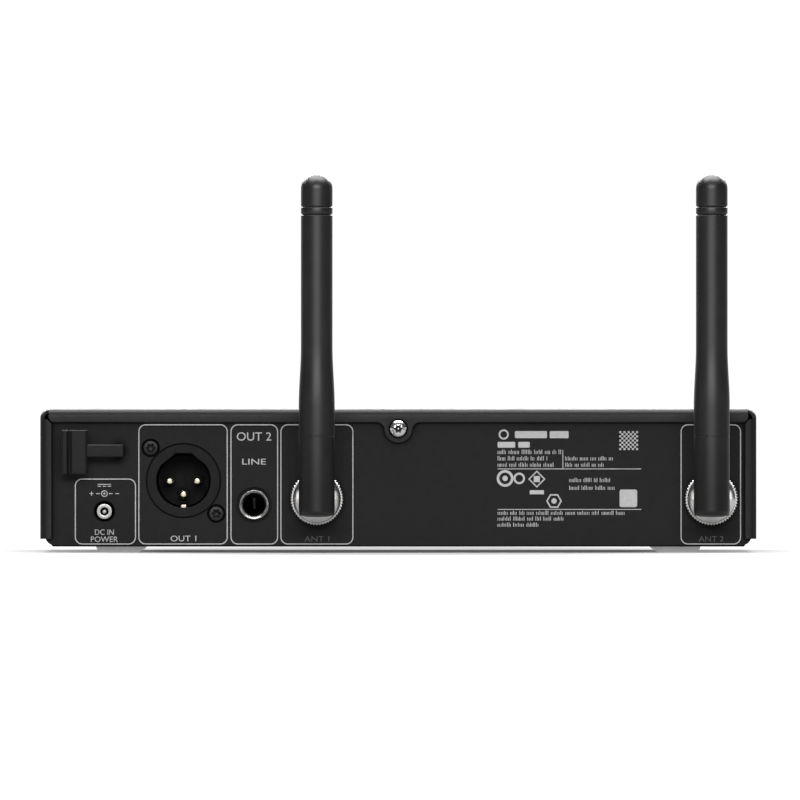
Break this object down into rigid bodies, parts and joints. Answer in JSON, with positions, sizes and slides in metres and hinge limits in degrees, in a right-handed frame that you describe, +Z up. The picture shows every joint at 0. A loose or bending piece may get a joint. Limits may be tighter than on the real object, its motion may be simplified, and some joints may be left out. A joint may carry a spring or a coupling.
{
  "type": "wireless receiver unit",
  "caption": "Half-rack radio microphone receiver: folded steel case with two swivelling rod antennas, XLR and jack outputs, a display, a jog dial and buttons.",
  "frame": {"origin": "on the surface that the feet stand on, below the middle of the unit's overall width and length", "axes": "+Z up; the front faces -Y and the rear panel faces +Y; +X is on the left when the rear panel is looked at"},
  "size_m": [0.212, 0.202, 0.112],
  "materials": {
    "coated_steel": "fine-texture black powder coat",
    "bezel_plastic": "moulded, fine spark texture",
    "black_plastic": "moulded, satin",
    "window_plastic": "polished",
    "display_panel": "polished",
    "key_plastic": "moulded, fine texture",
    "light_pipe": "polished",
    "antenna_rubber": "satin moulded skin",
    "foot_rubber": "matt",
    "nickel": "bright nickel plate",
    "gold": "gold flash",
    "copper": "drawn wire",
    "black_steel": "black passivated",
    "insulator": "PTFE, smooth",
    "circuit_board": "solder mask",
    "shield": "tin plate",
    "cable": "smooth"
  },
  "bodies": {
    "case": {"top_cover": "coated_steel", "chassis_tray": "coated_steel", "front_bezel": "bezel_plastic", "display_window": "window_plastic", "display_module": "display_panel", "status_light_pipe": "light_pipe", "front_board": "circuit_board", "main_board": "circuit_board", "tuner_shield_a": "shield", "tuner_shield_b": "shield", "flat_cable": "cable", "xlr_shell": "black_plastic", "xlr_insert": "black_plastic", "xlr_earth_tab": "nickel", "xlr_pin_1": "gold", "xlr_pin_2": "gold", "xlr_pin_3": "gold", "xlr_screw_upper": "black_steel", "xlr_screw_lower": "black_steel", "jack_body": "black_plastic", "jack_bush": "nickel", "jack_tip_spring": "nickel", "dc_body": "black_plastic", "dc_sleeve": "nickel", "dc_pin": "nickel", "antenna_socket_a": "nickel", "socket_insulator_a": "insulator", "socket_contact_a": "gold", "antenna_socket_b": "nickel", "socket_insulator_b": "insulator", "socket_contact_b": "gold", "cover_screw": "nickel", "cable_relief": "black_plastic", "foot_front_left": "foot_rubber", "foot_front_right": "foot_rubber", "foot_rear_left": "foot_rubber", "foot_rear_right": "foot_rubber", "escape_switch": "black_plastic", "sync_switch": "black_plastic", "power_switch": "black_plastic", "jog_encoder": "black_plastic"},
    "antenna_a": {"antenna_rod_a": "antenna_rubber", "antenna_base_a": "antenna_rubber", "antenna_plug_a": "nickel", "antenna_pin_a": "gold", "antenna_wire_a": "copper"},
    "antenna_b": {"antenna_rod_b": "antenna_rubber", "antenna_base_b": "antenna_rubber", "antenna_plug_b": "nickel", "antenna_pin_b": "gold", "antenna_wire_b": "copper"},
    "coupling_a": {"coupling_ring_a": "nickel"},
    "coupling_b": {"coupling_ring_b": "nickel"},
    "jog_push": {"jog_plunger": "insulator"},
    "jog_turn": {"jog_dial": "key_plastic", "jog_shaft": "nickel"},
    "escape_key": {"escape_button": "key_plastic"},
    "sync_key": {"sync_button": "key_plastic"},
    "power_key": {"power_button": "key_plastic"}
  },
  "joints": [
    {"name": "antenna_a_swivel", "type": "hinge", "parent": "case", "child": "antenna_a", "pos_m": [0.0241, 0.08998, 0.01595], "axis": [0, 1, 0], "range_deg": [-30, 90]},
    {"name": "antenna_b_swivel", "type": "hinge", "parent": "case", "child": "antenna_b", "pos_m": [-0.0926, 0.08998, 0.01595], "axis": [0, 1, 0], "range_deg": [-90, 30]},
    {"name": "coupling_a_turn", "type": "hinge", "parent": "case", "child": "coupling_a", "pos_m": [0.0241, 0.08399, 0.01595], "axis": [0, 1, 0], "range_deg": [0, 90]},
    {"name": "coupling_b_turn", "type": "hinge", "parent": "case", "child": "coupling_b", "pos_m": [-0.0926, 0.08399, 0.01595], "axis": [0, 1, 0], "range_deg": [0, 90]},
    {"name": "jog_press", "type": "slide", "parent": "case", "child": "jog_push", "axis": [0, 1, 0], "range_m": [0, 0.0005], "stiffness_N_per_m": 300},
    {"name": "jog_spin", "type": "hinge", "parent": "jog_push", "child": "jog_turn", "pos_m": [0.064, -0.09902, 0.02225], "axis": [0, 1, 0], "continuous": true},
    {"name": "escape_press", "type": "slide", "parent": "case", "child": "escape_key", "axis": [0, 1, 0], "range_m": [0, 0.0005], "stiffness_N_per_m": 300},
    {"name": "sync_press", "type": "slide", "parent": "case", "child": "sync_key", "axis": [0, 1, 0], "range_m": [0, 0.0005], "stiffness_N_per_m": 300},
    {"name": "power_press", "type": "slide", "parent": "case", "child": "power_key", "axis": [0, 1, 0], "range_m": [0, 0.0005], "stiffness_N_per_m": 300}
  ]
}
